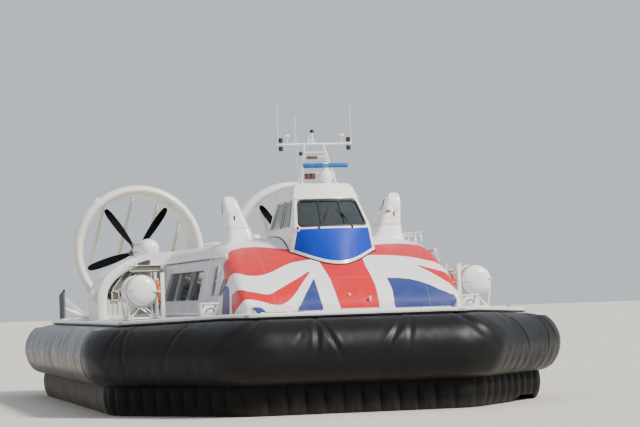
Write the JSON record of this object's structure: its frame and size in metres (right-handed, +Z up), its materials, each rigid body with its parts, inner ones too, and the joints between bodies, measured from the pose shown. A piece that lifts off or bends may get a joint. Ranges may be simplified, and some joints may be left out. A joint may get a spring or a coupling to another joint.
{
  "type": "passenger hovercraft",
  "caption": "Passenger hovercraft with an inflated black skirt, a raised cockpit, two bow thruster towers, two ducted stern propellers and banks of cream rudders.",
  "frame": {"origin": "on the floor under the middle of the bounding box", "axes": "bow towards -Y, port side towards +X, +Z up"},
  "size_m": [12.7, 23.7, 8.02],
  "materials": {
    "hull_grey": "matt anti-fouling paint",
    "deck_grey": "painted, non-slip",
    "skirt_rubber": "wet black rubber with sand and salt",
    "flag_red": "gloss, red, white and blue bands",
    "craft_white": "gloss, weathered",
    "side_grey": "satin",
    "dark_glass": "tinted",
    "seat_blue": "woven",
    "nose_blue": "gloss",
    "radar_blue": "gloss",
    "grille_grey": "matt",
    "blade_black": "black composite",
    "rudder_cream": "satin"
  },
  "bodies": {
    "craft": {"cabin_bulkhead": "side_grey", "cabin_front": "flag_red", "cabin_glass_port": "dark_glass", "cabin_glass_starboard": "dark_glass", "cabin_roof": "craft_white", "cabin_seats": "seat_blue", "cabin_side_port": "side_grey", "cabin_side_starboard": "side_grey", "canister_cradle_port": "craft_white", "canister_cradle_starboard": "craft_white", "cockpit_body": "nose_blue", "cockpit_roof": "craft_white", "cockpit_seats": "seat_blue", "deck": "deck_grey", "engine_bay_port": "craft_white", "engine_bay_starboard": "craft_white", "engine_block_port": "grille_grey", "engine_block_starboard": "grille_grey", "fan_grille_port": "grille_grey", "fan_grille_starboard": "grille_grey", "fan_housing_port": "craft_white", "fan_housing_starboard": "craft_white", "hull_raft": "hull_grey", "liferaft_canister_port": "craft_white", "liferaft_canister_starboard": "craft_white", "mast_frame": "craft_white", "propeller_duct_port": "craft_white", "propeller_duct_starboard": "craft_white", "propeller_pylon_port": "craft_white", "propeller_pylon_starboard": "craft_white", "skirt_bag_bow": "skirt_rubber", "skirt_bag_port": "skirt_rubber", "skirt_bag_starboard": "skirt_rubber", "skirt_bag_stern": "skirt_rubber", "skirt_fingers_bow": "skirt_rubber", "skirt_fingers_port": "skirt_rubber", "skirt_fingers_starboard": "skirt_rubber", "skirt_fingers_stern": "skirt_rubber", "stern_screen_port": "grille_grey", "stern_screen_starboard": "grille_grey", "thruster_fairing_port": "craft_white", "thruster_fairing_starboard": "craft_white", "windscreen": "dark_glass"},
    "bow_thruster_port": {"bow_thruster_port": "craft_white"},
    "bow_thruster_starboard": {"bow_thruster_starboard": "craft_white"},
    "door_port": {"door_port": "side_grey"},
    "door_starboard": {"door_starboard": "side_grey"},
    "propeller_port": {"propeller_port": "blade_black"},
    "propeller_starboard": {"propeller_starboard": "blade_black"},
    "radar_scanner": {"radar_scanner": "radar_blue"},
    "rudder_port_1": {"rudder_port_1": "rudder_cream"},
    "rudder_port_2": {"rudder_port_2": "rudder_cream"},
    "rudder_port_3": {"rudder_port_3": "rudder_cream"},
    "rudder_port_4": {"rudder_port_4": "rudder_cream"},
    "rudder_starboard_1": {"rudder_starboard_1": "rudder_cream"},
    "rudder_starboard_2": {"rudder_starboard_2": "rudder_cream"},
    "rudder_starboard_3": {"rudder_starboard_3": "rudder_cream"},
    "rudder_starboard_4": {"rudder_starboard_4": "rudder_cream"}
  },
  "joints": [
    {"name": "propeller_port_spin", "type": "hinge", "parent": "craft", "child": "propeller_port", "pos_m": [2.55, 9.15, 4.53], "axis": [0, 1, 0], "continuous": true},
    {"name": "rudder_port_1_turn", "type": "hinge", "parent": "craft", "child": "rudder_port_1", "pos_m": [1.31844, 10.19, 4.20001], "axis": [-0.2588, 0, 0.9659], "range_deg": [-30, 30]},
    {"name": "rudder_port_2_turn", "type": "hinge", "parent": "craft", "child": "rudder_port_2", "pos_m": [2.13948, 10.19, 4.42], "axis": [-0.2588, 0, 0.9659], "range_deg": [-30, 30]},
    {"name": "rudder_port_3_turn", "type": "hinge", "parent": "craft", "child": "rudder_port_3", "pos_m": [2.96052, 10.19, 4.64], "axis": [-0.2588, 0, 0.9659], "range_deg": [-30, 30]},
    {"name": "rudder_port_4_turn", "type": "hinge", "parent": "craft", "child": "rudder_port_4", "pos_m": [3.78156, 10.19, 4.85999], "axis": [-0.2588, 0, 0.9659], "range_deg": [-30, 30]},
    {"name": "bow_thruster_port_turn", "type": "hinge", "parent": "craft", "child": "bow_thruster_port", "pos_m": [2.12, -5.9, 4.744], "axis": [0, 0, 1], "range_deg": [-110, 110]},
    {"name": "door_port_swing", "type": "hinge", "parent": "craft", "child": "door_port", "pos_m": [2.942, -6.858, 3.2], "axis": [-0.2055, 0, 0.9787], "range_deg": [0, 100]},
    {"name": "propeller_starboard_spin", "type": "hinge", "parent": "craft", "child": "propeller_starboard", "pos_m": [-2.55, 9.15, 4.53], "axis": [0, 1, 0], "continuous": true},
    {"name": "rudder_starboard_1_turn", "type": "hinge", "parent": "craft", "child": "rudder_starboard_1", "pos_m": [-1.31844, 10.19, 4.20001], "axis": [0.2588, 0, 0.9659], "range_deg": [-30, 30]},
    {"name": "rudder_starboard_2_turn", "type": "hinge", "parent": "craft", "child": "rudder_starboard_2", "pos_m": [-2.13948, 10.19, 4.42], "axis": [0.2588, 0, 0.9659], "range_deg": [-30, 30]},
    {"name": "rudder_starboard_3_turn", "type": "hinge", "parent": "craft", "child": "rudder_starboard_3", "pos_m": [-2.96052, 10.19, 4.64], "axis": [0.2588, 0, 0.9659], "range_deg": [-30, 30]},
    {"name": "rudder_starboard_4_turn", "type": "hinge", "parent": "craft", "child": "rudder_starboard_4", "pos_m": [-3.78156, 10.19, 4.85999], "axis": [0.2588, 0, 0.9659], "range_deg": [-30, 30]},
    {"name": "bow_thruster_starboard_turn", "type": "hinge", "parent": "craft", "child": "bow_thruster_starboard", "pos_m": [-2.12, -5.9, 4.744], "axis": [0, 0, 1], "range_deg": [-110, 110]},
    {"name": "door_starboard_swing", "type": "hinge", "parent": "craft", "child": "door_starboard", "pos_m": [-2.942, -6.858, 3.2], "axis": [0.2055, 0, 0.9787], "range_deg": [-100, 0]},
    {"name": "radar_spin", "type": "hinge", "parent": "craft", "child": "radar_scanner", "pos_m": [0.19, -7, 6.25], "axis": [0, 0, 1], "continuous": true}
  ],
  "couplings": [
    {"joint": "rudder_port_2_turn", "follows": "rudder_port_1_turn", "ratio": 1},
    {"joint": "rudder_port_3_turn", "follows": "rudder_port_1_turn", "ratio": 1},
    {"joint": "rudder_port_4_turn", "follows": "rudder_port_1_turn", "ratio": 1},
    {"joint": "rudder_starboard_2_turn", "follows": "rudder_starboard_1_turn", "ratio": 1},
    {"joint": "rudder_starboard_3_turn", "follows": "rudder_starboard_1_turn", "ratio": 1},
    {"joint": "rudder_starboard_4_turn", "follows": "rudder_starboard_1_turn", "ratio": 1}
  ]
}
